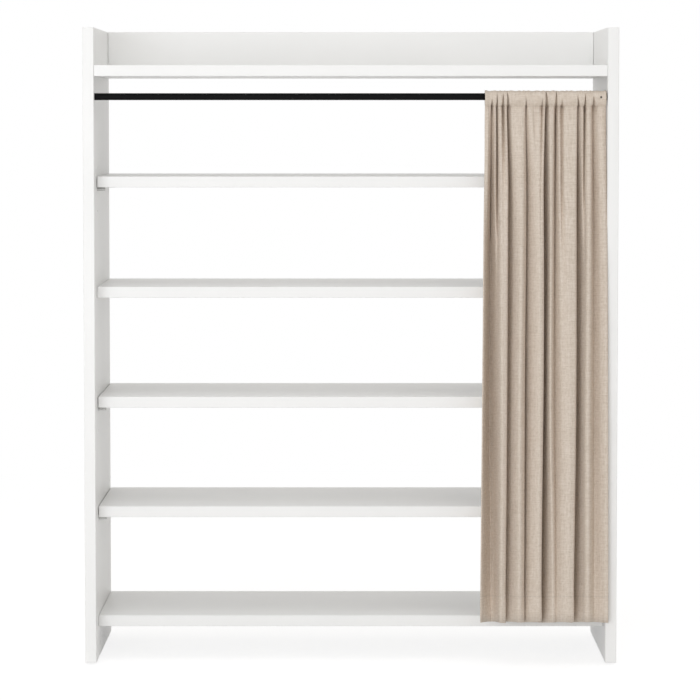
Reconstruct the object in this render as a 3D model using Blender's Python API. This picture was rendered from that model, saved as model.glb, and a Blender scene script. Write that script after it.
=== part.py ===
"""Curtained shoe cabinet: two side panels, a top shelf with a back rail, five shelves, a curtain on a rod.

Metres, +Z up. The front faces -Y, and the origin is at the bottom, in the middle of the whole.
Cam fittings hold the boards. Three of the shelves lie loose on pins. The curtain is gathered at the right.
"""

import math

import bmesh
import bpy
import numpy as np
from mathutils import Matrix, Vector

# Fits
seat_gap = 0.0003  # between two pieces that touch
overrun = 0.002  # how far a cutter runs out of the face that it opens

# Side panels
carcass_width = 0.768
carcass_height = 0.920
panel_depth = 0.288
panel_thickness = 0.016
board_edge_round = 0.0007

# Shelves, counted from the top shelf down
shelf_count = 5
shelf_thickness = 0.016
bottom_shelf_top = 0.066
shelf_recess = 0.043  # the shelves' front edges lie this far behind the panels' front edges
shelf_rear_setback = 0.005
loose_end_gap = 0.001  # at each end of a shelf that lies on pins
loose_shelves = (1, 3, 4)

# Back rail, on edge behind the top shelf, from its underside to the panels' tops
rail_thickness = 0.016
tray_depth = 0.054  # from the panels' tops down to the top shelf

# Shelf pins and their holes
pin_radius = 0.0024
pin_inset = 0.016  # from the shelf's front and rear edges
pin_proud = 0.0115
pin_collar_radius = 0.0034
pin_collar_thickness = 0.0008
pin_end_round = 0.0007
pin_hole_depth = 0.010
pin_hole_pitch = 0.032
pin_hole_rows = (-1, 0, 1)
pin_sides = 8

# Cam fittings: a bolt in the panel's face, and a lock that holds its head
cam_radius = 0.0075
cam_height = 0.0125
cam_inset = 0.024  # from the board's end to the lock's axis
cam_turn = math.radians(105)
cam_sides = 12
cam_slot_steps = 4
fixing_inset = 0.037  # from the board's front and rear edges to the bolts
bolt_height = 0.008  # of a bolt's axis over the face that the lock goes in
bolt_thread_radius = 0.0025
bolt_thread_length = 0.010
bolt_collar_radius = 0.0034
bolt_collar_length = 0.0016
bolt_neck_radius = 0.0016
bolt_head_radius = 0.0029
bolt_head_length = 0.0030
bolt_head_past_axis = 0.0005  # the head's end lies this far past the lock's axis
bolt_sides = 8

# Dowels between the back rail and the top shelf's rear edge
dowel_radius = 0.004
dowel_length = 0.030
dowel_in_rail = 0.010
dowel_spread = 0.400
dowel_end_round = 0.001
dowel_sides = 10

# Glides nailed under the panels
glide_radius = 0.0070
glide_height = 0.003
glide_edge = 0.001
glide_inset = 0.030
nail_radius = 0.0010
nail_length = 0.012
glide_sides = 12

# Curtain rod: a tube with its ends in blind sockets
rod_radius = 0.0050
rod_wall = 0.0010
rod_setback = 0.016  # from the panels' front edges to the rod's axis
rod_drop = 0.0291  # from the top shelf's underside to the rod's axis
rod_socket_depth = 0.008
rod_sides = 16

# Curtain, gathered at the right end of the rod
cloth_thickness = 0.0012
curtain_width = 0.1740  # as gathered at the top
curtain_end_gap = 0.0015
curtain_flare = 0.0050  # the bottom's left edge lies this much further out
curtain_floor_gap = 0.064
curtain_proud = 0.014  # the folds stand this far before the panels' front edges
curtain_shelf_gap = 0.008  # from the folds to the shelves' front edges
pocket_seam_drop = 0.0136  # from the rod's axis to the seam under it
pocket_ruffle = 0.0030
fold_run = 0.105  # under the seam, over which the folds reach their depth
hem_height = 0.0350
side_hem_share = 0.055

# Where the folds' ridges and valleys lie, from the leading edge, as shares of the gathered width.
# The first is the edge, which lies back like a valley, and from there ridges and valleys take turns.
fold_shares = (
    (0.0, 0.150, 0.189, 0.294, 0.336, 0.429, 0.483, 0.514)
    + (0.569, 0.708, 0.732, 0.817, 0.879, 0.960, 1.0)
)
fold_steps = 3  # columns from a ridge to the next valley
fold_row_shares = (0.0, 0.5, 0.86, 0.93, 1.0)  # heights of the rows from the hem's seam to the pocket's seam
pocket_sides = 8

# Colours, roughness and metallic values
finishes = {
    "white_board": ((0.86, 0.855, 0.84), 0.45, 0.0),
    "black_steel": ((0.012, 0.012, 0.013), 0.40, 0.0),
    "zinc_steel": ((0.62, 0.62, 0.60), 0.35, 1.0),
    "linen": ((0.50, 0.41, 0.32), 0.95, 0.0),
    "grey_plastic": ((0.30, 0.30, 0.30), 0.55, 0.0),
    "beech": ((0.62, 0.42, 0.24), 0.60, 0.0),
}

# Places that follow from the sizes above
front_y = (curtain_proud - panel_depth) / 2
rear_y = front_y + panel_depth
inner_x = carcass_width / 2 - panel_thickness
top_shelf_top = carcass_height - tray_depth
top_shelf_bottom = top_shelf_top - shelf_thickness
shelf_pitch = (top_shelf_top - bottom_shelf_top) / shelf_count
shelf_tops = [top_shelf_top - shelf_pitch * number for number in range(1, shelf_count + 1)]
shelf_front_y = front_y + shelf_recess
shelf_rear_y = rear_y - shelf_rear_setback
rail_front_y = rear_y - rail_thickness
top_shelf_rear_y = rail_front_y - seat_gap
pin_hole_radius = pin_radius + seat_gap
pin_lines = (shelf_front_y + pin_inset, shelf_rear_y - pin_inset)
rod_y = front_y + rod_setback
rod_z = top_shelf_bottom - rod_drop
half_cloth = cloth_thickness / 2
sides = {"left": -1, "right": 1}


def material(name):
    """The finish of that name, made once."""
    if name in bpy.data.materials:
        return bpy.data.materials[name]
    colour, roughness, metallic = finishes[name]
    made = bpy.data.materials.new(name)
    made.use_nodes = True
    shader = made.node_tree.nodes["Principled BSDF"]
    shader.inputs["Base Color"].default_value = (*colour, 1.0)
    shader.inputs["Roughness"].default_value = roughness
    shader.inputs["Metallic"].default_value = metallic
    made.diffuse_color = (*colour, 1.0)
    return made


def place(name, mesh, finish, location=(0, 0, 0), rotation=(0, 0, 0)):
    """An object of that mesh. Several objects may share a mesh."""
    if not mesh.materials:
        mesh.materials.append(material(finish))
    piece = bpy.data.objects.new(name, mesh)
    bpy.context.scene.collection.objects.link(piece)
    piece.location = location
    piece.rotation_euler = rotation
    return piece


def mesh_from(bm, name, smooth=False):
    """The bmesh as a mesh, with its faces turned outwards."""
    bmesh.ops.recalc_face_normals(bm, faces=bm.faces)
    mesh = bpy.data.meshes.new(name)
    bm.to_mesh(mesh)
    bm.free()
    if smooth:
        mesh.shade_smooth()
        mesh.set_sharp_from_angle(angle=math.radians(40))
    return mesh


def add_box(bm, low, high):
    """A box between two corners."""
    size = Vector(high) - Vector(low)
    middle = (Vector(high) + Vector(low)) / 2
    bmesh.ops.create_cube(bm, size=1, matrix=Matrix.LocRotScale(middle, None, size))


def add_turned(bm, profile, side_count, frame):
    """A turned body. profile gives (height along the axis, radius) from one end to the other. frame is the
    matrix that carries the Z axis to where the body lies."""
    rings = []
    for height, radius in profile:
        if radius == 0:
            rings.append([bm.verts.new(frame @ Vector((0, 0, height)))])
            continue
        ring = []
        for step in range(side_count):
            turn = math.tau * step / side_count
            point = Vector((radius * math.cos(turn), radius * math.sin(turn), height))
            ring.append(bm.verts.new(frame @ point))
        rings.append(ring)
    for lower, upper in zip(rings, rings[1:]):
        for step in range(side_count):
            after = (step + 1) % side_count
            if len(lower) == 1:
                bm.faces.new((lower[0], upper[after], upper[step]))
            elif len(upper) == 1:
                bm.faces.new((lower[step], lower[after], upper[0]))
            else:
                bm.faces.new((lower[step], lower[after], upper[after], upper[step]))
    for ring, turned in ((rings[0], True), (rings[-1], False)):
        if len(ring) > 1:
            bm.faces.new(ring[::-1] if turned else ring)


def along(origin, direction):
    """The matrix that carries the Z axis to a line from origin in that direction."""
    turn = Vector(direction).to_track_quat("Z", "Y").to_matrix().to_4x4()
    return Matrix.Translation(Vector(origin)) @ turn


def hole(bm, mouth, direction, radius, depth, side_count):
    """Adds the cutter of a round blind hole, which starts a little before its mouth."""
    add_turned(bm, ((-overrun, radius), (depth, radius)), side_count, along(mouth, direction))


def cut(piece, bm, name):
    """Takes the cutter's bodies out of the piece."""
    cutter = place(name, mesh_from(bm, name), "zinc_steel")
    cutter.hide_render = True
    cutter.display_type = "WIRE"
    boolean = piece.modifiers.new(name, "BOOLEAN")
    boolean.operation = "DIFFERENCE"
    boolean.solver = "EXACT"
    boolean.object = cutter


def board(name, low, high):
    """A board with its edges eased."""
    middle = (Vector(low) + Vector(high)) / 2
    bm = bmesh.new()
    add_box(bm, Vector(low) - middle, Vector(high) - middle)
    piece = place(name, mesh_from(bm, name), "white_board", middle)
    bevel = piece.modifiers.new("eased_edges", "BEVEL")
    bevel.width = board_edge_round
    bevel.segments = 1
    bevel.limit_method = "ANGLE"
    return piece


def fixing_places(front, rear):
    """How far back the two bolts at a board's end lie."""
    return {"front": front + fixing_inset, "rear": rear - fixing_inset}


def fixed_boards():
    """Each board that is held by cam fittings: its name, its front and rear, and its underside."""
    boards = [("top_shelf", front_y, top_shelf_rear_y, top_shelf_bottom)]
    for number, top in enumerate(shelf_tops, 1):
        if number not in loose_shelves:
            boards.append((f"shelf_{number}", shelf_front_y, shelf_rear_y, top - shelf_thickness))
    return boards


def bolt_axes():
    """Each bolt: its name, the point on the panel's inner face, its side, and the way in for its lock."""
    bolts = []
    for side, sign in sides.items():
        for name, front, rear, underside in fixed_boards():
            for place_name, y in fixing_places(front, rear).items():
                point = Vector((sign * inner_x, y, underside + bolt_height))
                bolts.append((f"{name}_{place_name}_{side}", point, sign, Vector((0, 0, 1))))
        rail_point = Vector((sign * inner_x, rear_y - bolt_height, (top_shelf_bottom + carcass_height) / 2))
        bolts.append((f"back_rail_{side}", rail_point, sign, Vector((0, -1, 0))))
    return bolts


def pin_places(number):
    """The four pins under a loose shelf: name, point on the panel's inner face, side."""
    height = shelf_tops[number - 1] - shelf_thickness - seat_gap - pin_radius
    for side, sign in sides.items():
        for line, y in zip(("front", "rear"), pin_lines):
            yield f"{number}_{line}_{side}", Vector((sign * inner_x, y, height)), sign


def side_panel(side):
    """A side panel, with its pin holes, bolt holes, rod socket and nail holes."""
    sign = sides[side]
    outer_x = sign * carcass_width / 2
    xs = sorted((sign * inner_x, outer_x))
    foot = glide_height + seat_gap
    panel = board(f"{side}_side_panel", (xs[0], front_y, foot), (xs[1], rear_y, carcass_height))
    outwards = (sign, 0, 0)
    pin_cutter = bmesh.new()
    for number in loose_shelves:
        for _, point, pin_sign in pin_places(number):
            if pin_sign != sign:
                continue
            for row in pin_hole_rows:
                mouth = point + Vector((0, 0, row * pin_hole_pitch))
                hole(pin_cutter, mouth, outwards, pin_hole_radius, pin_hole_depth, pin_sides)
    cut(panel, pin_cutter, f"{side}_pin_holes")
    fixing_cutter = bmesh.new()
    for _, point, bolt_sign, _ in bolt_axes():
        if bolt_sign == sign:
            depth = bolt_thread_length + seat_gap
            hole(fixing_cutter, point, outwards, bolt_thread_radius + seat_gap, depth, bolt_sides)
    socket = (sign * inner_x, rod_y, rod_z)
    hole(fixing_cutter, socket, outwards, rod_radius + seat_gap, rod_socket_depth, rod_sides)
    for x, y in glide_places(side).values():
        depth = nail_length + seat_gap
        hole(fixing_cutter, (x, y, foot), (0, 0, 1), nail_radius + seat_gap, depth, bolt_sides)
    cut(panel, fixing_cutter, f"{side}_fixing_holes")


def cut_lock_seats(piece, bolts, name):
    """The round seats of the locks, and the bores that let the bolts in from the board's end."""
    seats = bmesh.new()
    bores = bmesh.new()
    for _, point, sign, way_in in bolts:
        axis_point = point - Vector((sign * (seat_gap + cam_inset), 0, 0))
        mouth = axis_point - way_in * bolt_height
        hole(seats, mouth, way_in, cam_radius + seat_gap, cam_height + 2 * seat_gap, cam_sides)
        end = point - Vector((sign * seat_gap, 0, 0))
        hole(bores, end, (-sign, 0, 0), bolt_collar_radius + seat_gap, cam_inset, bolt_sides)
    cut(piece, seats, f"{name}_lock_seats")
    cut(piece, bores, f"{name}_bolt_bores")


def cut_dowel_holes(piece, name, direction, depth):
    """The dowels' blind holes, from the face that the board and its neighbour share."""
    dowel_holes = bmesh.new()
    face_y = rail_front_y if direction > 0 else top_shelf_rear_y
    for x, z in dowel_places():
        mouth = (x, face_y, z)
        hole(dowel_holes, mouth, (0, direction, 0), dowel_radius + seat_gap, depth + seat_gap, dowel_sides)
    cut(piece, dowel_holes, f"{name}_dowel_holes")


def top_shelf():
    """The fixed shelf at the top, flush with the panels at the front. Behind it stands the back rail."""
    length = inner_x - seat_gap
    low, high = (-length, front_y, top_shelf_bottom), (length, top_shelf_rear_y, top_shelf_top)
    piece = board("top_shelf", low, high)
    cut_lock_seats(piece, [bolt for bolt in bolt_axes() if bolt[0].startswith("top_shelf")], "top_shelf")
    cut_dowel_holes(piece, "top_shelf", -1, dowel_length - dowel_in_rail)


def back_rail():
    """The board on edge behind the top shelf's goods, flush with the panels' tops and rear edges."""
    length = inner_x - seat_gap
    rail = board("back_rail", (-length, rail_front_y, top_shelf_bottom), (length, rear_y, carcass_height))
    cut_lock_seats(rail, [bolt for bolt in bolt_axes() if bolt[0].startswith("back_rail")], "back_rail")
    cut_dowel_holes(rail, "back_rail", 1, dowel_in_rail)


def shelf(number):
    """One of the five shelves. A loose one lies on pins, the others have cam fittings."""
    loose = number in loose_shelves
    length = inner_x - (loose_end_gap if loose else seat_gap)
    top = shelf_tops[number - 1]
    name = f"shelf_{number}"
    piece = board(name, (-length, shelf_front_y, top - shelf_thickness), (length, shelf_rear_y, top))
    if not loose:
        cut_lock_seats(piece, [bolt for bolt in bolt_axes() if bolt[0].startswith(name)], name)


def shelf_pins():
    """Steel pins with a thin collar against the panel and an eased end. Four carry each loose shelf."""
    inside = pin_hole_depth - seat_gap
    profile = (
        (-inside, 0),
        (-inside, pin_radius - pin_end_round),
        (pin_end_round - inside, pin_radius),
        (seat_gap, pin_radius),
        (seat_gap, pin_collar_radius - pin_end_round),
        (seat_gap + pin_collar_thickness, pin_collar_radius - pin_end_round),
        (seat_gap + pin_collar_thickness, pin_radius),
        (pin_proud - pin_end_round, pin_radius),
        (pin_proud, pin_radius - pin_end_round),
        (pin_proud, 0),
    )
    for side, sign in sides.items():
        bm = bmesh.new()
        add_turned(bm, profile, pin_sides, along((0, 0, 0), (-sign, 0, 0)))
        mesh = mesh_from(bm, f"shelf_pin_{side}", smooth=True)
        for number in loose_shelves:
            for name, point, pin_sign in pin_places(number):
                if pin_sign == sign:
                    place(f"shelf_pin_{name}", mesh, "zinc_steel", point)


def bolt_profile():
    """Half the outline of a cam bolt along its axis: thread, collar against the panel, neck and head."""
    head_end = seat_gap + cam_inset + bolt_head_past_axis
    head_start = head_end - bolt_head_length
    collar_end = seat_gap + bolt_collar_length
    return (
        (-bolt_thread_length, 0),
        (-bolt_thread_length, bolt_thread_radius),
        (seat_gap, bolt_thread_radius),
        (seat_gap, bolt_collar_radius),
        (collar_end, bolt_collar_radius),
        (collar_end, bolt_neck_radius),
        (head_start, bolt_neck_radius),
        (head_start, bolt_head_radius),
        (head_end, bolt_head_radius),
        (head_end, 0),
    )


def cam_bolts():
    """The bolts, which stand in the panels' faces and reach into the locks."""
    for side, sign in sides.items():
        bm = bmesh.new()
        add_turned(bm, bolt_profile(), bolt_sides, along((0, 0, 0), (-sign, 0, 0)))
        mesh = mesh_from(bm, f"cam_bolt_{side}", smooth=True)
        for name, point, bolt_sign, _ in bolt_axes():
            if bolt_sign == sign:
                place(f"cam_bolt_{name}", mesh, "zinc_steel", point)


def add_sector(bm, inner, outer, half_height, first, last, steps):
    """A flat ring sector about the Z axis between two angles, half over and half under height 0."""
    columns = []
    for step in range(steps + 1):
        angle = first + (last - first) * step / steps
        column = []
        for radius, height in ((inner, -1), (outer, -1), (outer, 1), (inner, 1)):
            point = (radius * math.cos(angle), radius * math.sin(angle), height * half_height)
            column.append(bm.verts.new(point))
        columns.append(column)
    for before, after in zip(columns, columns[1:]):
        for corner in range(4):
            following = (corner + 1) % 4
            bm.faces.new((before[corner], before[following], after[following], after[corner]))
    bm.faces.new(columns[0][::-1])
    bm.faces.new(columns[-1])


def cam_lock_mesh():
    """A lock with its axis on Z, its mouth towards -X and the bolt's axis at height 0. The bolt's head goes
    in at the round entry. The chamber takes it, and the slot lets its neck turn in between two claws."""
    bm = bmesh.new()
    bottom = seat_gap - bolt_height
    add_turned(bm, ((bottom, cam_radius), (bottom + cam_height, cam_radius)), cam_sides, Matrix.Identity(4))
    lock = place("cam_lock_blank", mesh_from(bm, "cam_lock_blank"), "zinc_steel")
    head_room = bolt_head_radius + seat_gap
    neck_room = bolt_neck_radius + seat_gap
    chamber_radius = math.hypot(bolt_head_length - bolt_head_past_axis, bolt_head_radius) + seat_gap
    outside = cam_radius + overrun
    chamber = bmesh.new()
    chamber_profile = ((-head_room, chamber_radius), (head_room, chamber_radius))
    add_turned(chamber, chamber_profile, cam_sides, Matrix.Identity(4))
    cut(lock, chamber, "cam_chamber")
    slot = bmesh.new()
    slot_start = math.pi - math.asin(neck_room / chamber_radius)
    add_sector(slot, chamber_radius / 2, outside, neck_room, slot_start, math.pi + cam_turn, cam_slot_steps)
    cut(lock, slot, "cam_slot")
    entry = bmesh.new()
    entry_way = (math.cos(math.pi + cam_turn), math.sin(math.pi + cam_turn), 0)
    entry_profile = ((chamber_radius / 2, head_room - seat_gap / 2), (outside, head_room - seat_gap / 2))
    add_turned(entry, entry_profile, bolt_sides, along((0, 0, 0), entry_way))
    cut(lock, entry, "cam_entry")
    bpy.context.view_layer.update()
    mesh = bpy.data.meshes.new_from_object(lock.evaluated_get(bpy.context.evaluated_depsgraph_get()))
    mesh.name = "cam_lock"
    for used in [modifier.object for modifier in lock.modifiers] + [lock]:
        bpy.data.objects.remove(used)
    return mesh


def cam_locks():
    """The locks, each in its seat in the board's hidden face, with its mouth to the board's end."""
    mesh = cam_lock_mesh()
    for name, point, sign, way_in in bolt_axes():
        centre = point - Vector((sign * (seat_gap + cam_inset), 0, 0))
        mouth_way = Vector((-sign, 0, 0))
        turn = Matrix((mouth_way, way_in.cross(mouth_way), way_in)).transposed()
        place(f"cam_lock_{name}", mesh, "zinc_steel", centre, turn.to_euler())


def dowel_places():
    """The dowels lie in the middle of the top shelf's thickness."""
    return [(sign * dowel_spread / 2, (top_shelf_bottom + top_shelf_top) / 2) for sign in sides.values()]


def dowels():
    """Two beech dowels hold the rail at the top shelf's rear edge."""
    bm = bmesh.new()
    profile = (
        (0, dowel_radius - dowel_end_round),
        (dowel_end_round, dowel_radius),
        (dowel_length - dowel_end_round, dowel_radius),
        (dowel_length, dowel_radius - dowel_end_round),
    )
    add_turned(bm, profile, dowel_sides, along((0, 0, 0), (0, 1, 0)))
    mesh = mesh_from(bm, "dowel", smooth=True)
    inner_end = rail_front_y + dowel_in_rail - dowel_length
    for side, (x, z) in zip(sides, dowel_places()):
        place(f"dowel_{side}", mesh, "beech", (x, inner_end, z))


def glide_places(side):
    """The two glides under a panel."""
    x = sides[side] * (carcass_width - panel_thickness) / 2
    return {"front": (x, front_y + glide_inset), "rear": (x, rear_y - glide_inset)}


def glides():
    """Low plastic glides with a nail, under the four corners."""
    bm = bmesh.new()
    profile = (
        (0, 0),
        (0, glide_radius - glide_edge),
        (glide_edge, glide_radius),
        (glide_height, glide_radius),
        (glide_height, nail_radius),
        (glide_height + nail_length, nail_radius),
        (glide_height + nail_length, 0),
    )
    add_turned(bm, profile, glide_sides, Matrix.Identity(4))
    mesh = mesh_from(bm, "glide", smooth=True)
    for side in sides:
        for end, (x, y) in glide_places(side).items():
            place(f"glide_{end}_{side}", mesh, "grey_plastic", (x, y, 0))


def curtain_rod():
    """A tube from socket to socket."""
    bm = bmesh.new()
    half = inner_x + rod_socket_depth - seat_gap
    rings = []
    for radius in (rod_radius, rod_radius - rod_wall):
        for end in (-half, half):
            ring = []
            for step in range(rod_sides):
                turn = math.tau * step / rod_sides
                ring.append(bm.verts.new((end, radius * math.cos(turn), radius * math.sin(turn))))
            rings.append(ring)
    outer_left, outer_right, bore_left, bore_right = rings
    tube_walls = ((outer_left, outer_right), (bore_left, bore_right))
    end_walls = ((outer_left, bore_left), (outer_right, bore_right))
    for first, second in tube_walls + end_walls:
        for step in range(rod_sides):
            after = (step + 1) % rod_sides
            bm.faces.new((first[step], first[after], second[after], second[step]))
    place("curtain_rod", mesh_from(bm, "curtain_rod", smooth=True), "black_steel", (0, rod_y, rod_z))


def smooth_step(value):
    """0 below 0, 1 above 1, and a smooth rise between them."""
    value = np.clip(value, 0, 1)
    return value * value * (3 - 2 * value)


def fold_at(share):
    """How far forward the cloth lies at a share of the gathered width: 1 on a ridge, -1 in a valley."""
    half_turns = np.interp(share, fold_shares, np.arange(len(fold_shares)))
    return -np.cos(math.pi * half_turns)


def cloth_plan(share, drop):
    """The middle of the cloth, seen from above, at a drop under the pocket's seam: x and y for each share."""
    length = rod_z - pocket_seam_drop - curtain_floor_gap
    depth = smooth_step(drop / fold_run)
    right = inner_x - curtain_end_gap
    left = right - curtain_width - curtain_flare * drop / length
    x = left + (right - left) * share
    front = rod_setback + curtain_proud - half_cloth
    rear = shelf_recess - curtain_shelf_gap - rod_setback - half_cloth
    deep = (rear - front) / 2 - (rear + front) / 2 * fold_at(share)
    shallow = -pocket_ruffle * fold_at(share)
    return x, rod_y + shallow + (deep - shallow) * depth


def cloth_strip(name, shares):
    """One closed body of cloth: a sheet in folds, with a pocket round the rod along its top."""
    seam_z = rod_z - pocket_seam_drop
    low, high = curtain_floor_gap + hem_height, seam_z
    heights = [curtain_floor_gap] + [low + (high - low) * share for share in fold_row_shares]
    front_rows, back_rows = [], []
    for height in heights:
        x, y = cloth_plan(shares, seam_z - height)
        slope = np.stack([np.gradient(x), np.gradient(y)])
        slope /= np.linalg.norm(slope, axis=0)
        z = np.full_like(x, height)
        front_rows.append(np.stack([x + slope[1] * half_cloth, y - slope[0] * half_cloth, z], axis=1))
        back_rows.append(np.stack([x - slope[1] * half_cloth, y + slope[0] * half_cloth, z], axis=1))
    x, _ = cloth_plan(shares, 0)
    bore = (rod_radius + seat_gap) / math.cos(math.pi / pocket_sides)
    ridge = (1 + fold_at(shares)) / 2
    outer_rows, bore_rows = [], []
    for step in range(pocket_sides):
        angle = -math.pi / 2 - math.tau * step / pocket_sides
        across, up = math.cos(angle), math.sin(angle)
        bulge = ridge * max(0, -across) + (1 - ridge) * max(0, across)
        outer = bore + cloth_thickness + pocket_ruffle * bulge
        inner = np.full_like(x, bore)
        bore_rows.append(np.stack([x, rod_y + inner * across, rod_z + inner * up], axis=1))
        if step:
            outer_rows.append(np.stack([x, rod_y + outer * across, rod_z + outer * up], axis=1))
    loop = front_rows + outer_rows + back_rows[::-1]
    bm = bmesh.new()
    skin = [[bm.verts.new(point) for point in row] for row in loop]
    tube = [[bm.verts.new(point) for point in row] for row in bore_rows]
    for rows in (skin, tube):
        for first, second in zip(rows, rows[1:] + rows[:1]):
            for column in range(len(shares) - 1):
                bm.faces.new((first[column], first[column + 1], second[column + 1], second[column]))
    count = len(front_rows)
    for column in (0, len(shares) - 1):
        for row in range(count - 1):
            mirrored = len(skin) - 1 - row
            corners = (skin[row], skin[row + 1], skin[mirrored - 1], skin[mirrored])
            bm.faces.new([corner[column] for corner in corners])
        collar = [skin[row][column] for row in range(count - 1, count + pocket_sides)]
        ring = [row[column] for row in tube] + [tube[0][column]]
        for step in range(pocket_sides):
            bm.faces.new((collar[step], collar[step + 1], ring[step + 1], ring[step]))
        bm.faces.new((collar[0], ring[0], collar[-1]))
    place(name, mesh_from(bm, name, smooth=True), "linen")


def curtain():
    """The curtain and the side hem of its leading edge, which the hand draws along the rod."""
    knots = np.array(fold_shares)
    steps = np.arange((len(knots) - 1) * fold_steps + 1) / fold_steps
    shares = np.interp(steps, np.arange(len(knots)), knots)
    folds = shares[shares > side_hem_share]
    cloth_strip("curtain", np.concatenate([[side_hem_share], folds]))
    hem_end = side_hem_share - seat_gap / curtain_width
    hem = np.concatenate([shares[shares < hem_end], [hem_end]])
    cloth_strip("curtain_side_hem", hem)


def build():
    """Clears the scene and makes every piece."""
    for old in list(bpy.data.objects):
        bpy.data.objects.remove(old)
    for side in sides:
        side_panel(side)
    top_shelf()
    back_rail()
    for number in range(1, shelf_count + 1):
        shelf(number)
    shelf_pins()
    cam_bolts()
    cam_locks()
    dowels()
    glides()
    curtain_rod()
    curtain()


build()
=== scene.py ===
import math

import bpy
import numpy as np
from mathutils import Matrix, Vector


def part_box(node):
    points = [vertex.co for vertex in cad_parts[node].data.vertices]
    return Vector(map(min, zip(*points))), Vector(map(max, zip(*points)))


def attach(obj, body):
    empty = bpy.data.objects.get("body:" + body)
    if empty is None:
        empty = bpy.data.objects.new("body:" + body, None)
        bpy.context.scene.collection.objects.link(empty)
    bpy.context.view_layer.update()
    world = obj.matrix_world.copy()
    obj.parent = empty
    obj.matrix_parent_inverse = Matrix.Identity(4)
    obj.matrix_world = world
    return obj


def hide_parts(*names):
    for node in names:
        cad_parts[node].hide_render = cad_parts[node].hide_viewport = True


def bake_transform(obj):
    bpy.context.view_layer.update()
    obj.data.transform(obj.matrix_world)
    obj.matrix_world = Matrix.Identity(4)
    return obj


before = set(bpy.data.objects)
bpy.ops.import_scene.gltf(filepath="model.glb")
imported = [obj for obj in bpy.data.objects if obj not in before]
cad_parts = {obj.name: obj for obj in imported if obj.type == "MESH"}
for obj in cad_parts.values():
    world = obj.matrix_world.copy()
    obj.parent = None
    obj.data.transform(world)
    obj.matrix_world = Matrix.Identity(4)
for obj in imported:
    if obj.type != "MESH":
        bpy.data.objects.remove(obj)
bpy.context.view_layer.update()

print("frame loaded")

# The camera's height and distance come from the shelves' edges. Its shift is small so that other views stay framed.
cameraView = {
    "lens": 164.8,
    "sensor": 36,
    "place": (0.0, -4.734, 0.7921),
    "pitch": -0.0607,  # radians above the horizon
    "shift": (-0.0011, -0.055),
}


def makeCamera():
    data = bpy.data.cameras.new("photoCamera")
    data.lens = cameraView["lens"]
    data.sensor_width = cameraView["sensor"]
    data.shift_x, data.shift_y = cameraView["shift"]
    camera = bpy.data.objects.new("photoCamera", data)
    bpy.context.scene.collection.objects.link(camera)
    camera.location = cameraView["place"]
    camera.rotation_euler = (math.pi / 2 + cameraView["pitch"], 0, 0)
    bpy.context.scene.camera = camera


makeCamera()
print("camera at the photo's view")


def fromHex(text):  # an sRGB hex colour as linear values
    parts = [int(text[i : i + 2], 16) / 255 for i in (1, 3, 5)]
    return (*(c / 12.92 if c <= 0.04045 else ((c + 0.055) / 1.055) ** 2.4 for c in parts), 1.0)


# Sets a node's inputs. A key is a socket's name or number, and a value is a plain value or another node's output.
def setInputs(tree, node, inputs):
    for key, value in inputs.items():
        if isinstance(value, bpy.types.NodeSocket):
            tree.links.new(value, node.inputs[key])
        else:
            node.inputs[key].default_value = value


# Adds a node with its inputs and settings, and on a colour ramp its stops, which are pairs of place and colour.
def addNode(tree, kind, inputs=None, stops=(), **settings):
    node = tree.nodes.new("ShaderNode" + kind)
    for key, value in settings.items():
        setattr(node, key, value)
    setInputs(tree, node, inputs or {})
    for number, (at, colour) in enumerate(stops):
        line = node.color_ramp.elements
        stop = line[number] if number < 2 else line.new(at)  # a ramp has two stops from the start
        stop.position, stop.color = at, fromHex(colour)
    return node


def newFinish(name):
    finish = bpy.data.materials.new(name)
    finish.use_nodes = True
    tree = finish.node_tree
    return finish, tree, tree.nodes["Principled BSDF"]


# A pattern of 0 to 1 sets the shader's roughness between two values, and its bump.
def pebbled(tree, shader, pattern, look):
    low, high = look["roughness"]
    rough = addNode(tree, "MapRange", {"Value": pattern, "To Min": low, "To Max": high})
    bump = addNode(tree, "Bump", {"Height": pattern, "Strength": look["bump"], "Distance": look["depth"]})
    setInputs(tree, shader, {"Roughness": rough.outputs["Result"], "Normal": bump.outputs["Normal"]})


# Melamine foil, pressed on particle board: a satin white with a shallow pebble and hardly any tint. Sizes in metres.
boardLook = {
    "colours": ("#F7F7F6", "#FAFAF9"),
    "cloud": 0.12,
    "pebble": 0.0025,
    "depth": 0.00003,
    "bump": 0.25,
    "roughness": (0.36, 0.48),
}


def pressedMelamine():
    finish, tree, shader = newFinish("pressedMelamine")
    place = addNode(tree, "TexCoord").outputs["Object"]
    cloud = addNode(tree, "TexNoise", {"Vector": place, "Scale": 1 / boardLook["cloud"], "Detail": 3.0})
    tint = addNode(tree, "ValToRGB", {"Fac": cloud.outputs["Fac"]}, zip((0.3, 0.7), boardLook["colours"]))
    pebble = addNode(tree, "TexNoise", {"Vector": place, "Scale": 1 / boardLook["pebble"], "Detail": 2.0})
    setInputs(tree, shader, {"Base Color": tint.outputs["Color"]})
    pebbled(tree, shader, pebble.outputs["Fac"], boardLook)
    return finish


# Powder coat, baked on steel tube: a satin black with a fine pebble, drawn at 1 mm so that it shows
coatLook = {
    "colours": ("#09090A", "#131314"),
    "pebble": 0.001,
    "depth": 0.00004,
    "bump": 0.3,
    "roughness": (0.34, 0.46),
    "gloss": 0.07,
}


def bakedPowderCoat():
    finish, tree, shader = newFinish("bakedPowderCoat")
    place = addNode(tree, "TexCoord").outputs["Object"]
    pebble = addNode(tree, "TexNoise", {"Vector": place, "Scale": 1 / coatLook["pebble"], "Detail": 2.0})
    tint = addNode(tree, "ValToRGB", {"Fac": pebble.outputs["Fac"]}, zip((0.3, 0.8), coatLook["colours"]))
    setInputs(tree, shader, {"Base Color": tint.outputs["Color"], "Specular IOR Level": coatLook["gloss"]})
    pebbled(tree, shader, pebble.outputs["Fac"], coatLook)
    return finish


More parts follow.
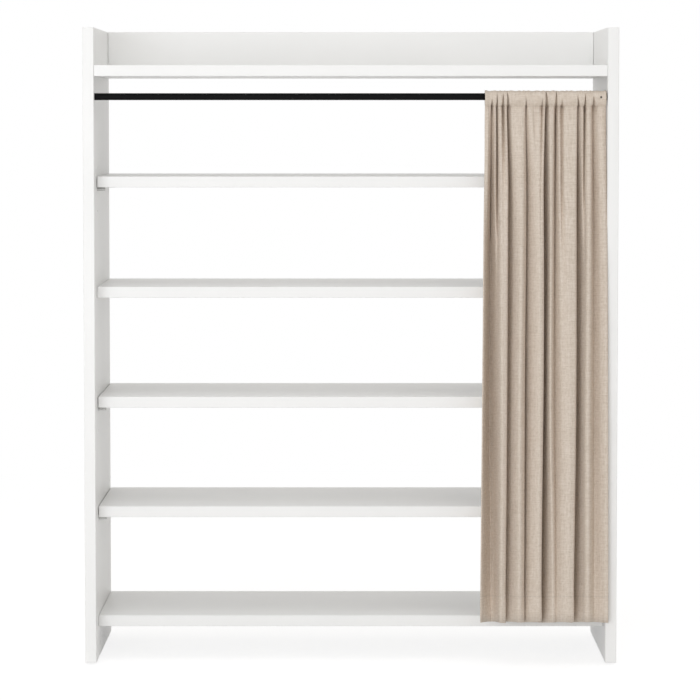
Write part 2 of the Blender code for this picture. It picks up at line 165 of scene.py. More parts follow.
# Zinc plate on turned and cast steel: bright grey, with small crystals that break up the gloss
zincLook = {"colours": ("#B9BABA", "#D6D6D3"), "crystal": 0.001, "roughness": (0.26, 0.42)}


def zincPlate():
    finish, tree, shader = newFinish("zincPlate")
    place = addNode(tree, "TexCoord").outputs["Object"]
    crystal = addNode(tree, "TexVoronoi", {"Vector": place, "Scale": 1 / zincLook["crystal"]})
    tint = addNode(tree, "ValToRGB", {"Fac": crystal.outputs["Color"]}, zip((0.0, 1.0), zincLook["colours"]))
    low, high = zincLook["roughness"]
    rough = addNode(tree, "MapRange", {"Value": crystal.outputs["Distance"], "To Min": low, "To Max": high})
    setInputs(tree, shader, {"Base Color": tint.outputs["Color"], "Roughness": rough.outputs["Result"]})
    setInputs(tree, shader, {"Metallic": 1.0})
    return finish


# Moulded polyethylene, as on nailed glides: a waxy mid grey
glideLook = {"colours": ("#8A8A89", "#999998"), "grain": 0.0015, "roughness": 0.55}


def mouldedPolyethylene():
    finish, tree, shader = newFinish("mouldedPolyethylene")
    place = addNode(tree, "TexCoord").outputs["Object"]
    grain = addNode(tree, "TexNoise", {"Vector": place, "Scale": 1 / glideLook["grain"], "Detail": 2.0})
    tint = addNode(tree, "ValToRGB", {"Fac": grain.outputs["Fac"]}, zip((0.2, 0.8), glideLook["colours"]))
    setInputs(tree, shader, {"Base Color": tint.outputs["Color"], "Roughness": glideLook["roughness"]})
    return finish


# Beech rod, fluted and left raw: pale brown, with short darker flecks along the dowel, which lies along Y
beechLook = {"colours": ("#C39A6B", "#DDBB8F"), "fleck": (0.0012, 0.008, 0.0012), "roughness": 0.7}


def rawBeech():
    finish, tree, shader = newFinish("rawBeech")
    place = addNode(tree, "TexCoord").outputs["Object"]
    run = addNode(tree, "Mapping", {"Vector": place, "Scale": tuple(1 / size for size in beechLook["fleck"])})
    grain = addNode(tree, "TexNoise", {"Vector": run.outputs["Vector"], "Scale": 1.0, "Detail": 4.0})
    tint = addNode(tree, "ValToRGB", {"Fac": grain.outputs["Fac"]}, zip((0.3, 0.7), beechLook["colours"]))
    setInputs(tree, shader, {"Base Color": tint.outputs["Color"], "Roughness": beechLook["roughness"]})
    return finish


# Plain woven linen blend, spun unevenly: heathered beige, with thick and thin threads both ways. Real threads lie
# 0.6 mm apart and are drawn 1.6 mm apart so that they show. UV is the cloth's own width and length in metres. Along
# the stitched seams the colour is darkened as painted shade, and the pocket has one small dark mark.
linenLook = {
    "colours": ("#C9BAAA", "#DACDBF", "#E6DBD0"),
    "thread": 0.0016,
    "slub": 0.022,
    "fleck": 0.004,
    "patternRange": (1.08, 1.92),  # of the three patterns' sum, from the darkest colour to the palest
    # a stitched line's half width, and how far its colour is darkened there as painted shade
    "seamHalf": 0.0014,
    "seamPaintedShade": 0.90,
    "markReach": (0.0012, 0.0021),
    "markShade": 0.10,
    "roughness": 0.93,
    "gloss": 0.2,
    "sheen": 0.06,
    "sheenRoughness": 0.5,
    "bump": 0.5,
    "depth": 0.0004,
}


def wovenLinen(seams, mark, gather):
    finish, tree, shader = newFinish("wovenLinen")
    cloth = addNode(tree, "UVMap", uv_map="clothLay").outputs["UV"]
    thread, slub = linenLook["thread"], linenLook["slub"]
    weft = addNode(tree, "Mapping", {"Vector": cloth, "Scale": (1 / slub, 1 / thread, 1.0)}).outputs["Vector"]
    warp = addNode(tree, "Mapping", {"Vector": cloth, "Scale": (1 / thread, 1 / slub, 1.0)}).outputs["Vector"]
    across = addNode(tree, "TexNoise", {"Vector": weft, "Scale": 1.0, "Detail": 3.0, "Roughness": 0.6})
    down = addNode(tree, "TexNoise", {"Vector": warp, "Scale": 1.0, "Detail": 3.0, "Roughness": 0.6})
    grain = {"Vector": cloth, "Scale": 1 / linenLook["fleck"], "Detail": 4.0, "Roughness": 0.65}
    fleck = addNode(tree, "TexNoise", grain)
    woven = addNode(tree, "Math", {0: across.outputs["Fac"], 1: down.outputs["Fac"]}, operation="ADD")
    mixed = addNode(tree, "Math", {0: woven.outputs[0], 1: fleck.outputs["Fac"]}, operation="ADD").outputs[0]
    low, high = linenLook["patternRange"]
    level = addNode(tree, "MapRange", {"Value": mixed, "From Min": low, "From Max": high})
    stops = zip((0.0, 0.5, 1.0), linenLook["colours"])
    tint = addNode(tree, "ValToRGB", {"Fac": level.outputs["Result"]}, stops).outputs["Color"]
    along = addNode(tree, "SeparateXYZ", {"Vector": cloth}).outputs["Y"]
    seamShadowFade = {"From Max": linenLook["seamHalf"], "To Min": linenLook["seamPaintedShade"], "To Max": 1.0}
    for seam in seams:  # painted shade: a stitched line is darkened, for the shade in its groove
        off = addNode(tree, "Math", {0: along, 1: seam}, operation="SUBTRACT")
        near = addNode(tree, "Math", {0: off.outputs[0]}, operation="ABSOLUTE")
        fade = addNode(tree, "MapRange", {"Value": near.outputs[0], **seamShadowFade})
        shaded = addNode(tree, "VectorMath", {0: tint, "Scale": fade.outputs["Result"]}, operation="SCALE")
        tint = shaded.outputs["Vector"]
    fromMark = {"Vector": cloth, "Scale": (gather, 1.0, 1.0), "Location": (-gather * mark[0], -mark[1], 0.0)}
    offMark = addNode(tree, "Mapping", fromMark).outputs["Vector"]
    reach = addNode(tree, "VectorMath", {0: offMark}, operation="LENGTH").outputs["Value"]
    core, rim = linenLook["markReach"]
    spotFade = {"Value": reach, "From Min": core, "From Max": rim, "To Min": linenLook["markShade"]}
    spot = addNode(tree, "MapRange", spotFade)
    marked = addNode(tree, "VectorMath", {0: tint, "Scale": spot.outputs["Result"]}, operation="SCALE")
    relief = {"Height": mixed, "Strength": linenLook["bump"], "Distance": linenLook["depth"]}
    bump = addNode(tree, "Bump", relief)
    setInputs(tree, shader, {"Base Color": marked.outputs["Vector"], "Normal": bump.outputs["Normal"]})
    setInputs(tree, shader, {"Roughness": linenLook["roughness"], "Specular IOR Level": linenLook["gloss"]})
    setInputs(tree, shader, {"Sheen Weight": linenLook["sheen"], "Sheen Roughness": linenLook["sheenRoughness"]})
    return finish


white, black, zinc = pressedMelamine(), bakedPowderCoat(), zincPlate()
waxy, beech = mouldedPolyethylene(), rawBeech()
finishOf = {"shelf_pin": zinc, "cam_": zinc, "dowel": beech, "glide": waxy, "curtain_rod": black}
for name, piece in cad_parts.items():
    chosen = next((finish for start, finish in finishOf.items() if name.startswith(start)), white)
    for holder in piece.material_slots:
        holder.material = chosen
print("finishes on the boards, rod and fittings")


# The curtain. Its plan is a row of turns, read off the photo's crests and dark lines. Each turn has its millimetres
# from the left edge and its millimetres behind the foremost crest, both at the five heights in curtainCut, and the
# number of pleats tucked behind the crest before it, two or none.
planTurns = (
    ((0.0, 0.0, 0.0, 0.0, 0.0), (3.0, 4.0, 5.0, 6.0, 5.0), 0),
    ((5.2, 4.2, 3.0, 3.2, 4.4), (0.8, 5.0, 15.0, 20.0, 17.0), 0),
    ((8.0, 7.2, 6.4, 6.9, 9.4), (5.0, 17.0, 30.0, 36.0, 29.0), 0),
    ((10.4, 10.2, 10.6, 11.8, 15.6), (11.0, 30.0, 43.0, 48.0, 38.0), 0),
    ((12.8, 13.2, 14.4, 16.8, 20.4), (4.0, 20.0, 34.0, 40.0, 32.0), 0),
    ((15.2, 15.4, 18.1, 20.8, 23.4), (0.5, 9.0, 20.0, 26.0, 22.0), 0),
    ((17.8, 19.6, 20.8, 23.6, 25.7), (17.0, 24.0, 15.0, 13.0, 12.0), 0),
    ((19.4, 21.6, 23.0, 25.6, 27.3), (5.0, 6.0, 6.0, 5.0, 4.0), 0),
    ((23.2, 24.6, 25.5, 27.9, 29.3), (0.8, 1.0, 0.5, 0.5, 0.5), 0),
    ((26.4, 27.9, 29.0, 30.4, 31.7), (17.0, 4.0, 1.0, 1.5, 2.0), 0),
    ((29.5, 32.6, 33.2, 33.5, 34.6), (0.5, 0.5, 2.0, 4.0, 4.5), 0),
    ((33.4, 36.5, 36.9, 36.6, 37.3), (19.0, 28.0, 31.0, 33.0, 30.0), 2),
    ((35.7, 38.4, 39.4, 39.4, 40.3), (7.0, 19.0, 25.0, 27.0, 24.0), 0),
    ((38.4, 41.2, 42.9, 43.2, 44.3), (2.0, 9.0, 15.0, 18.0, 17.0), 0),
    ((43.4, 46.0, 47.7, 48.3, 49.6), (1.0, 3.5, 7.0, 8.5, 8.0), 0),
    ((52.2, 52.3, 52.7, 53.3, 54.4), (0.5, 0.0, 0.5, 0.5, 0.5), 0),
    ((55.8, 55.9, 56.2, 56.6, 57.5), (1.5, 2.0, 2.5, 3.0, 2.5), 0),
    ((57.5, 58.4, 59.2, 60.1, 60.9), (4.0, 9.0, 10.0, 10.0, 9.0), 0),
    ((59.2, 61.6, 62.5, 63.1, 63.5), (11.0, 26.0, 29.0, 31.0, 27.0), 2),
    ((61.3, 64.6, 65.7, 66.2, 66.6), (4.0, 17.0, 19.0, 21.0, 18.0), 0),
    ((63.6, 68.5, 70.1, 70.7, 71.1), (0.5, 8.5, 10.5, 11.5, 10.0), 0),
    ((67.6, 73.6, 75.4, 76.6, 77.6), (0.0, 2.5, 3.0, 4.0, 4.0), 0),
    ((71.3, 78.0, 79.8, 81.6, 83.3), (5.5, 0.5, 0.0, 0.0, 0.0), 0),
    ((79.6, 79.6, 80.9, 82.4, 84.0), (0.5, 0.5, 0.3, 0.3, 0.3), 0),
    ((82.4, 81.2, 82.0, 83.6, 85.2), (11.0, 4.0, 1.0, 1.0, 1.0), 0),
    ((84.6, 82.9, 83.6, 85.1, 86.7), (1.5, 1.5, 1.8, 2.2, 2.2), 0),
    ((87.8, 87.7, 88.9, 89.3, 89.4), (22.0, 33.0, 39.0, 43.0, 40.0), 2),
    ((90.3, 90.3, 91.8, 92.4, 93.4), (9.0, 21.0, 26.0, 29.0, 27.0), 0),
    ((92.0, 92.6, 94.4, 95.1, 98.0), (3.0, 8.0, 11.0, 13.0, 16.0), 0),
    ((93.9, 94.7, 96.8, 97.7, 103.8), (0.0, 1.5, 3.0, 4.0, 9.0), 0),
    ((98.6, 98.2, 99.8, 100.8, 106.7), (2.0, 4.5, 8.0, 9.5, 11.0), 0),
    ((102.3, 102.4, 103.5, 104.8, 109.5), (20.0, 21.0, 22.0, 24.0, 15.0), 0),
    ((104.0, 105.3, 106.9, 108.8, 112.6), (7.0, 10.5, 14.0, 17.0, 12.0), 0),
    ((106.3, 108.5, 110.8, 113.8, 116.1), (0.0, 1.5, 4.5, 7.0, 7.0), 0),
    ((110.8, 111.9, 114.4, 119.0, 121.1), (10.0, 11.0, 5.5, 2.0, 2.5), 0),
    ((114.2, 115.8, 120.6, 125.3, 126.6), (0.5, 0.5, 0.0, 0.0, 0.0), 0),
    ((130.6, 130.7, 131.3, 132.4, 133.0), (2.0, 2.5, 3.0, 3.5, 2.5), 0),
    ((134.4, 134.7, 135.7, 136.6, 136.4), (13.0, 32.0, 37.0, 41.0, 37.0), 2),
    ((137.1, 137.9, 139.4, 140.0, 139.7), (6.0, 16.0, 27.0, 33.0, 28.0), 0),
    ((140.1, 140.8, 142.9, 143.5, 143.5), (0.0, 9.0, 17.0, 21.0, 20.0), 0),
    ((143.9, 143.7, 145.8, 146.6, 147.6), (16.0, 15.0, 11.0, 10.0, 12.0), 0),
    ((146.2, 146.4, 148.1, 148.6, 150.1), (3.0, 4.0, 4.0, 3.5, 5.0), 0),
    ((148.9, 149.6, 150.4, 151.2, 153.0), (0.0, 1.0, 1.0, 0.5, 1.0), 0),
    ((152.1, 152.6, 153.6, 154.6, 156.1), (2.0, 3.0, 3.0, 3.0, 2.5), 0),
    ((155.6, 157.0, 159.4, 162.0, 163.8), (13.0, 21.0, 22.0, 22.5, 17.0), 0),
    ((158.9, 160.8, 163.0, 165.6, 167.6), (7.0, 14.0, 17.0, 18.5, 16.0), 0),
    ((163.0, 165.1, 167.6, 170.0, 172.4), (2.0, 4.5, 7.0, 9.0, 10.0), 0),
    ((168.3, 170.8, 174.4, 176.8, 179.6), (0.5, 0.0, 0.0, 0.0, 0.0), 0),
    ((174.0, 175.4, 177.3, 180.7, 183.7), (5.0, 4.0, 2.0, 1.5, 1.0), 0),
)
curtainCut = {  # sizes in metres
    "flat": (0.76, 0.83),
    "thickness": 0.0010,
    "hemThickness": 0.0019,
    "sideHemThickness": 0.0016,
    "hem": 0.035,  # the stitched line's height
    "sideHem": 0.010,  # the leading edge, a piece of its own
    "hairGap": 0.3,  # between the two pieces, as a share of a column
    "heights": (0.016, 0.148, 0.293, 0.633, 0.95),  # the plan's, as shares of the way from the seam to the hem
    "leftEdge": (0.1925, 0.1918, 0.1910, 0.1893, 0.1875),
    "rightEdge": (0.3665, 0.3672, 0.3683, 0.3700, 0.3712),
    "columns": 470,
    "sheetRows": 68,
    "rowBunch": 1.3,  # above 1, rows lie closer near the seam
    "pocketRows": 13,  # half of those round the rod
    "foldRound": 0.0010,
    "heightRound": 1.6,  # rows
    "evenSeam": 0.02,  # of even spacing, so that no two turns meet at the seam
    "hemDepth": 0.60,  # of the lowest plan's
    "backSag": 0.0055,
    "frontGap": 0.0012,  # behind the solid's front
    "fallForward": 0.21,  # the drop that takes the crests most of the way to the front
    "depthLimit": 0.0505,  # clear of the shelves
    "markX": 0.3588,
    "markDown": 0.001,  # below the rod's middle
    "markSpan": 4,  # columns either side over which its gather is measured
}
smallWaves = {  # each one's height in metres, radians per metre across the cloth, and radians from seam to hem
    "sway": (0.0006, 31, 7.3),
    "ripple": (0.0004, 57, 19),
    "beat": (1.0, 23, 11),  # times the ripple, so that it comes and goes
    "hem": (0.0008, 41, 0),
    "swayOver": 0.2,  # the share of the way down over which the sway grows
    "rippleOver": 0.03,
}
rodLow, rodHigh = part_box("curtain_rod")
clothLow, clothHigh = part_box("curtain")
rodY, rodZ = (rodLow[1] + rodHigh[1]) / 2, (rodLow[2] + rodHigh[2]) / 2
pocket = {  # sizes in metres
    "seam": rodZ - 0.0136,
    "seamFront": 0.0045,  # before the rod's middle
    "layerGap": 0.0014,  # between its two layers at the seam
    "top": 0.0066,  # above the rod's middle
    "crown": 0.0014,  # higher still between the pinches
    "side": 0.0060,  # before and behind the rod's middle
    "ruffle": 0.0062,  # further out in front between the pinches
    "ruffleOver": 0.25,
    "pinch": 0.0150,  # the depth of a pinch at the seam
    "pinchFrom": 0.005,  # the depth of fold at which a pinch starts
    "pinchRise": 0.006,  # more of it half way up
    "pinchOver": 0.004,
    "pinchRun": 0.75,  # the height at which a pinch is as deep as the ruffle
    "pinchRound": 0.6,  # of the folds' rounding
    "pinchBack": 0.0015,
    "wrinkleWaves": (0.0088, 0.031),
    "wrinkleBend": 1.7,  # radians
    "wrinkleUp": 0.0005,
    "wrinkleOut": 0.0003,
    "meetBack": 0.55,  # the share of the way down from the rod at which a layer starts to close
    "meetFront": 0.80,
}
frontY = min(clothLow[1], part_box("curtain_side_hem")[0][1])
sheetLength = pocket["seam"] - clothLow[2]


def smoothRise(value):  # 0 below 0, 1 above 1, and a smooth rise between
    value = np.clip(value, 0, 1)
    return value * value * (3 - 2 * value)


def bellMean(values, width, axis):  # each value averaged with its neighbours under a bell curve; the ends stay
    reach = int(4 * width) + 1
    bell = np.exp(-0.5 * (np.arange(-reach, reach + 1) / width) ** 2)
    values = np.moveaxis(values, axis, -1)
    before = 2 * values[..., :1] - values[..., reach:0:-1]
    after = 2 * values[..., -1:] - values[..., -2 : -reach - 2 : -1]
    padded = np.concatenate([before, values, after], axis=-1)
    mean = sum(share * padded[..., k : k + values.shape[-1]] for k, share in enumerate(bell / bell.sum()))
    return np.moveaxis(mean, -1, axis)


def smallWave(name, places, down):  # a sine of the place across the cloth and down it
    high, across, fall = smallWaves[name]
    return high * np.sin(across * places + fall * down)


# How far a fold of this depth pinches the pocket, 0 to 1, where height is 0 at the seam, 1 half way up and 2 on top.
def pinchShare(depth, height):
    return smoothRise((depth - pocket["pinchFrom"] - pocket["pinchRise"] * height) / pocket["pinchOver"])


def lengthAlong(line):  # the length of a path up to each of its points
    return np.concatenate([[0], np.cumsum(np.linalg.norm(np.diff(line, axis=0), axis=1))])


# The two pleats tucked behind a crest. Their path runs back and left, turns round and comes forward again, twice. Its
# points are millimetres right of the crest before, and shares of the way from the crest to the pleats' back. The
# opening's points are shares of half the gap to the next turn, and of that way.
pleats = {
    "deep": (24.0, 36.0, 42.0, 47.0, 48.5),  # millimetres behind the foremost crest, at the plan's five heights
    "squeeze": 0.55,  # how wide a pleat of no depth would be, as a share of the deepest
    "opening": ((1.0, 0.10), (0.3, 0.30)),
    "first": ((-7.5, 0.94), (-6.2, 1.00), (-4.9, 0.94)),
    "between": ((-1.6, 0.62), (-0.9, 0.56), (-0.1, 0.62)),
    "second": ((-1.0, 0.94), (0.2, 1.00), (1.4, 0.94)),
    "wayOut": 0.9,
    "nextShare": 0.4,  # of the next turn's depth in the way out's last point
    "short": (0.4, 0.1),  # millimetres that this point and the next turn stay left of the gap's middle
}


# Every turn with its pleats before it, so that the crest's edge hides their opening. Returned as heights by turns by
# two, in metres from the left edge and behind the foremost crest.
def pleatedPlan():
    full = np.array(pleats["deep"])
    squeeze = pleats["squeeze"] + (1 - pleats["squeeze"]) * full / full.max()
    turns = []
    for across, back, tucked in planTurns:
        here = np.array([across, back], float)
        if tucked:
            edge = turns[-1]
            gap = 0.5 * (here[0] - edge[0])
            deep = full - edge[1]
            for aside, share in pleats["opening"]:
                turns.append(np.array([edge[0] + aside * gap, edge[1] + share * deep]))
            for aside, share in pleats["first"] + pleats["between"] + pleats["second"]:
                turns.append(np.array([edge[0] + aside * squeeze, edge[1] + share * deep]))
            wayOut = edge[1] + pleats["wayOut"] * deep
            last = pleats["nextShare"] * here[1] + (1 - pleats["nextShare"]) * wayOut
            turns.append(np.array([edge[0] + gap - pleats["short"][0], last]))
            here[0] = edge[0] + gap - pleats["short"][1]
        turns.append(here)
    return np.array(turns).transpose(2, 0, 1) / 1000


plan = pleatedPlan()
planLengths = np.mean([lengthAlong(level) for level in plan], axis=0)
clothWidth = float(planLengths[-1])


# The cloth under the seam, rows by columns. At the seam the folds are flattened to pinches, and at the hem, which is
# stiff, to a share of their depth. Between the heights the turns are joined by straight lines, then rounded both ways.
# The crests come forward from under the rod to the front as 1 minus e to the power of minus the drop over a length.
# Small waves are sines of the place on the cloth. The cloth hangs lower by the back sag times its depth's share.
def sheetGrid(places, drops):
    seam = plan[0].copy()
    order = np.linspace(0, 1, len(seam))
    even = curtainCut["evenSeam"]
    seam[:, 0] = np.maximum.accumulate(seam[:, 0]) * (1 - even) + order * even * seam[-1, 0]
    seam[:, 1] = pocket["pinch"] * pinchShare(seam[:, 1], 0)
    hem = plan[-1] * (1, curtainCut["hemDepth"])
    levels = np.concatenate([seam[None], plan, hem[None]])
    heights = np.array([0, *curtainCut["heights"], 1]) * sheetLength
    spots = np.array([[np.interp(places, planLengths, level[:, k]) for level in levels] for k in (0, 1)])
    over = np.clip(np.searchsorted(heights, drops, side="right") - 1, 0, len(heights) - 2)  # the level above each row
    share = ((drops - heights[over]) / (heights[over + 1] - heights[over]))[:, None]
    grid = spots[:, over] + (spots[:, over + 1] - spots[:, over]) * share
    spacing = clothWidth / curtainCut["columns"]
    grid = bellMean(bellMean(grid, curtainCut["foldRound"] / spacing, 2), curtainCut["heightRound"], 1)
    down = (drops / sheetLength)[:, None]
    left = np.interp(drops, heights[1:-1], curtainCut["leftEdge"])[:, None]
    right = np.interp(drops, heights[1:-1], curtainCut["rightEdge"])[:, None]
    width = np.interp(drops, heights[1:-1], plan[:, -1, 0])[:, None]
    sway = smallWave("sway", places, down) * np.sin(math.pi * grid[0] / width)
    x = left + grid[0] * (right - left) / width + sway * smoothRise(down / smallWaves["swayOver"])
    seamFront = rodY - pocket["seamFront"]
    forward = 1 - np.exp(-drops[:, None] / curtainCut["fallForward"])
    front = seamFront + (frontY + curtainCut["frontGap"] - seamFront) * forward
    ripple = smallWave("ripple", places, down) * smallWave("beat", places, down)
    y = front + grid[1] + ripple * smoothRise(down / smallWaves["rippleOver"])
    z = pocket["seam"] - drops[:, None] + smallWave("hem", places, down) * down
    z = z - curtainCut["backSag"] * grid[1] / (pleats["deep"][-1] / 1000) * down
    return x, np.minimum(y, frontY + curtainCut["depthLimit"]), z


# The pocket: the cloth runs from the seam up behind the rod, over it and down its front to the seam again, as a drop
# with its point at the seam. Where a fold starts, a pinch runs up its front from the seam as a wedge: its depth falls
# from the pinch's to the ruffle's, and only where the fold is deeper than a rising limit. Small wrinkles are a sine
# of x whose phase is a longer sine of x.
def pocketGrid(places, seamX, seamY):
    turn = np.linspace(-0.5 * math.pi, 1.5 * math.pi, 2 * curtainCut["pocketRows"])[:-1, None]
    inFront = np.cos(turn) <= 0
    start = np.interp(places, planLengths, plan[0, :, 1])
    rounding = pocket["pinchRound"] * curtainCut["foldRound"] * curtainCut["columns"] / clothWidth
    start = bellMean(start[None], rounding, 1)
    ahead, behind, top = np.clip(-np.cos(turn), 0, 1), np.clip(np.cos(turn), 0, 1), np.clip(np.sin(turn), 0, 1)
    up = np.where(np.sin(turn) > 0, pocket["top"], rodZ - pocket["seam"])
    height = np.clip(1 + np.sin(turn), 0, 2)
    pinch = pinchShare(start, height)
    wedge = np.clip(1 - height / pocket["pinchRun"], 0, 1)
    deep = pocket["ruffle"] + (pocket["pinch"] - pocket["ruffle"]) * wedge
    short, long = (2 * math.pi * seamX / size for size in pocket["wrinkleWaves"])
    wrinkle = np.sin(short + pocket["wrinkleBend"] * np.sin(long)) * (1 - pinchShare(start, 0))
    z = rodZ + np.sin(turn) * up + (pocket["crown"] * (1 - pinch) + pocket["wrinkleUp"] * wrinkle) * top
    swell = pocket["side"] + pocket["ruffle"] - pocket["seamFront"]
    front = -(pocket["seamFront"] + swell * ahead) + deep * pinch - pocket["wrinkleOut"] * wrinkle * ahead
    front = front * np.where(height > 1, smoothRise(ahead / pocket["ruffleOver"]), 1)
    back = np.cos(turn) * pocket["side"] + pocket["pinchBack"] * pinch * behind
    y = rodY + np.where(inFront, front, back)
    meetFrom = np.where(inFront, pocket["meetFront"], pocket["meetBack"])
    meet = smoothRise((-np.sin(turn) - meetFrom) / (1 - meetFrom))
    y = y * (1 - meet) + (seamY + pocket["layerGap"] * ~inFront) * meet
    return seamX + 0 * turn, y, z


def clothGrid(places):
    drops = sheetLength * np.linspace(0, 1, curtainCut["sheetRows"]) ** curtainCut["rowBunch"]
    sheet = sheetGrid(places, drops)
    loop = pocketGrid(places, sheet[0][:1], sheet[1][:1])
    return np.concatenate([np.stack(loop, axis=2), np.stack(sheet, axis=2)])


# A sheet from its grid of points. UV is the place on the cloth in metres, across by the plan's length and down by the
# path's. The hem is thicker than the rest.
def clothPiece(name, grid, places, along, thickness, finish):
    rows, columns = grid.shape[:2]
    mesh = bpy.data.meshes.new(name)
    mesh.vertices.add(rows * columns)
    mesh.vertices.foreach_set("co", grid.reshape(-1))
    corner = np.arange((rows - 1) * columns).reshape(rows - 1, columns)[:, :-1].reshape(-1)
    faces = np.stack([corner, corner + columns, corner + columns + 1, corner + 1], axis=1)
    mesh.loops.add(faces.size)
    mesh.loops.foreach_set("vertex_index", faces.reshape(-1))
    mesh.polygons.add(len(faces))
    mesh.polygons.foreach_set("loop_start", np.arange(0, faces.size, 4))
    mesh.polygons.foreach_set("use_smooth", np.ones(len(faces), bool))
    mesh.update(calc_edges=True)
    lay = np.stack(np.broadcast_arrays(places[None, :], along[:, None]), axis=2).reshape(-1, 2)
    mesh.uv_layers.new(name="clothLay").data.foreach_set("uv", lay[faces.reshape(-1)].reshape(-1))
    mesh.materials.append(finish)
    piece = bpy.data.objects.new(name, mesh)
    bpy.context.scene.collection.objects.link(piece)
    inHem = grid[:, :, 2].reshape(-1) < clothLow[2] + curtainCut["hem"]
    group = piece.vertex_groups.new(name="thick")
    group.add(np.flatnonzero(inHem).tolist(), 1.0, "REPLACE")
    solid = piece.modifiers.new("thickness", "SOLIDIFY")
    solid.thickness, solid.offset = curtainCut["hemThickness"], 0
    solid.vertex_group, solid.thickness_vertex_group = "thick", thickness / curtainCut["hemThickness"]
    settled = bpy.data.meshes.new_from_object(piece.evaluated_get(bpy.context.evaluated_depsgraph_get()))
    piece.modifiers.clear()
    piece.data = settled
    return piece


# The mark's place on the cloth, and how much narrower the gathered cloth is there than laid flat
def markPlace(frontRows):
    row = min(frontRows, key=lambda row: abs(wholeGrid[row, split, 2] - rodZ + curtainCut["markDown"]))
    across = wholeGrid[row, :, 0]
    column = int(np.argmin(np.abs(across - curtainCut["markX"])))
    before, after = column - curtainCut["markSpan"], column + curtainCut["markSpan"]
    gather = (across[after] - across[before]) / (places[after] - places[before])
    return (float(places[column]), float(downPath[row])), float(gather)


places = np.linspace(0, clothWidth, curtainCut["columns"] + 1)
split = int(np.searchsorted(places, curtainCut["sideHem"]))  # the side hem's last column
wholeGrid = clothGrid(places)
sheetStart = len(wholeGrid) - curtainCut["sheetRows"]
steps = np.linalg.norm(np.diff(wholeGrid, axis=0), axis=2).mean(axis=1)
downPath = np.concatenate([[0], np.cumsum(steps)])  # the mean length down the cloth up to each row
sheetLevels = -wholeGrid[sheetStart:, :, 2].mean(axis=1)
hemSeam = float(np.interp(-clothLow[2] - curtainCut["hem"], sheetLevels, downPath[sheetStart:]))
mark, gather = markPlace(range(sheetStart // 2, sheetStart))
linen = wovenLinen((float(downPath[sheetStart]), hemSeam), mark, gather)
clothRest = wholeGrid[:, split:], places[split:], downPath
curtain = clothPiece("gatheredCurtain", *clothRest, curtainCut["thickness"], linen)
hemGrid = wholeGrid[:, : split + 1].copy()
hemGrid[:, -1] += curtainCut["hairGap"] * (hemGrid[:, -2] - hemGrid[:, -1])
clothEdge = hemGrid, places[: split + 1], downPath
sideHem = clothPiece("curtainSideHem", *clothEdge, curtainCut["sideHemThickness"], linen)
hemPoints = np.empty(3 * len(sideHem.data.vertices), np.float32)
sideHem.data.vertices.foreach_get("co", hemPoints)
faceCount = len(curtain.data.polygons) + len(sideHem.data.polygons)
print("curtain of", round(clothWidth, 3), "m of cloth,", faceCount, "faces")

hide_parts("curtain")
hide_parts("curtain_side_hem")
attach(sideHem, "curtain_lead")
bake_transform(curtain)


# Pale floor and white surround. The camera and gloss see the surround white. They see a share of the floor as light of
# its own, and the rest keeps the object's shadow. Away from the object that share rises to the surround's white.
studioLook = {
    "floor": "#FBFBFB",
    "floorReach": 12.0,
    "floorShare": 0.65,
    "floorLift": 0.15,
    "nearAndFar": (0.5, 2.4),
    "surround": "#FBF8F4",
    "surroundStrength": 0.60,
}


def seenDirectly(tree):  # 1 for a ray from the camera, from gloss or through glass, else 0
    rays = addNode(tree, "LightPath").outputs
    first = addNode(tree, "Math", {0: rays["Is Camera Ray"], 1: rays["Is Glossy Ray"]}, operation="MAXIMUM")
    both = addNode(tree, "Math", {0: first.outputs[0], 1: rays["Is Transmission Ray"]}, operation="MAXIMUM")
    return both.outputs[0]


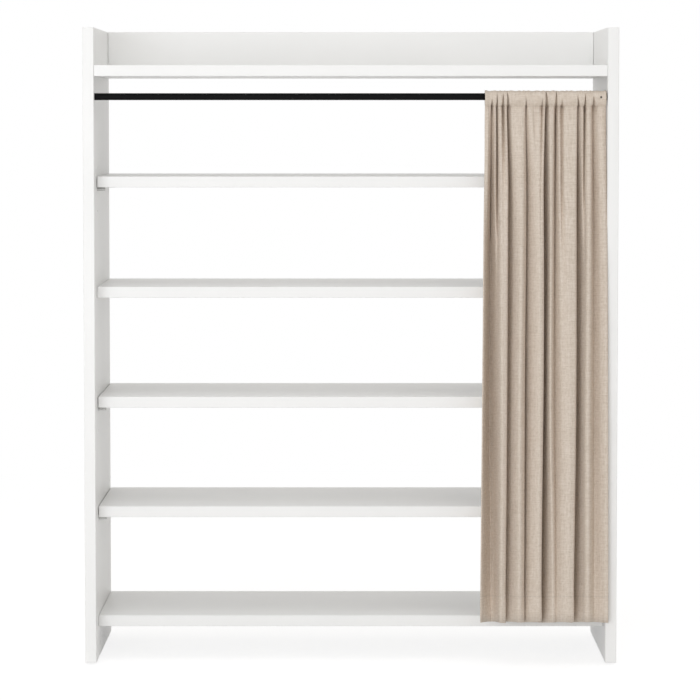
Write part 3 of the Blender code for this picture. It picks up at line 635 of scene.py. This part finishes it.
def makeFloor():
    mesh = bpy.data.meshes.new("studioFloor")
    reach = studioLook["floorReach"]
    corners = [(-reach, -reach, 0), (reach, -reach, 0), (reach, reach, 0), (-reach, reach, 0)]
    mesh.from_pydata(corners, [], [(0, 1, 2, 3)])
    floor = bpy.data.objects.new("studioFloor", mesh)
    bpy.context.scene.collection.objects.link(floor)
    finish, tree, shader = newFinish("paleFloor")
    setInputs(tree, shader, {"Base Color": fromHex(studioLook["floor"]), "Roughness": 0.9, "Specular IOR Level": 0.0})
    place = addNode(tree, "TexCoord").outputs["Object"]
    distance = addNode(tree, "VectorMath", {0: place}, operation="LENGTH").outputs["Value"]
    near, far = studioLook["nearAndFar"]
    away = addNode(tree, "MapRange", {"Value": distance, "From Min": near, "From Max": far}).outputs["Result"]
    share = addNode(tree, "MapRange", {"Value": away, "To Min": studioLook["floorShare"]}).outputs["Result"]
    lift = addNode(tree, "MapRange", {"Value": away, "To Min": studioLook["floorLift"], "To Max": 0.0})
    direct = seenDirectly(tree)
    shown = addNode(tree, "Math", {0: direct, 1: share}, operation="MULTIPLY")
    lifted = addNode(tree, "Math", {0: direct, 1: lift.outputs["Result"]}, operation="MULTIPLY")
    glow = addNode(tree, "Emission", {"Color": (1, 1, 1, 1), "Strength": 1.0})
    extra = addNode(tree, "Emission", {"Color": (1, 1, 1, 1), "Strength": lifted.outputs[0]})
    mixed = addNode(tree, "MixShader", {0: shown.outputs[0], 1: shader.outputs[0], 2: glow.outputs[0]})
    summed = addNode(tree, "AddShader", {0: mixed.outputs[0], 1: extra.outputs[0]})
    setInputs(tree, tree.nodes["Material Output"], {"Surface": summed.outputs[0]})
    mesh.materials.append(finish)


def makeSurround():
    world = bpy.data.worlds.new("studioSurround")
    bpy.context.scene.world = world
    world.use_nodes = True
    tree = world.node_tree
    soft = tree.nodes["Background"]
    colour, strength = fromHex(studioLook["surround"]), studioLook["surroundStrength"]
    setInputs(tree, soft, {"Color": colour, "Strength": strength})
    plain = addNode(tree, "Background", {"Color": (1, 1, 1, 1), "Strength": 1.0})
    mixed = addNode(tree, "MixShader", {0: seenDirectly(tree), 1: soft.outputs[0], 2: plain.outputs[0]})
    setInputs(tree, tree.nodes["World Output"], {"Surface": mixed.outputs[0]})


# Soft lamps: a large one at the front left, and a fainter one above the front. They are a shade cooler than the
# surround, and point at the object's middle.
lamps = {
    "frontLamp": {"place": (-1.0, -3.6, 0.40), "width": 1.8, "watts": 50},
    "topLamp": {"place": (0.0, -1.2, 3.4), "width": 2.0, "watts": 15},
}
lampColour, aimHeight = "#F8FBFF", 0.46


def makeLamps():
    for name, lamp in lamps.items():
        data = bpy.data.lights.new(name, "AREA")
        data.size, data.energy = lamp["width"], lamp["watts"]
        data.color = fromHex(lampColour)[:3]
        light = bpy.data.objects.new(name, data)
        bpy.context.scene.collection.objects.link(light)
        light.location = lamp["place"]
        aim = -light.location
        aim.z += aimHeight
        light.rotation_euler = aim.to_track_quat("-Z", "Y").to_euler()


makeFloor()
makeSurround()
makeLamps()
bpy.context.scene.view_settings.view_transform = "Standard"
print("floor, surround and lamps")
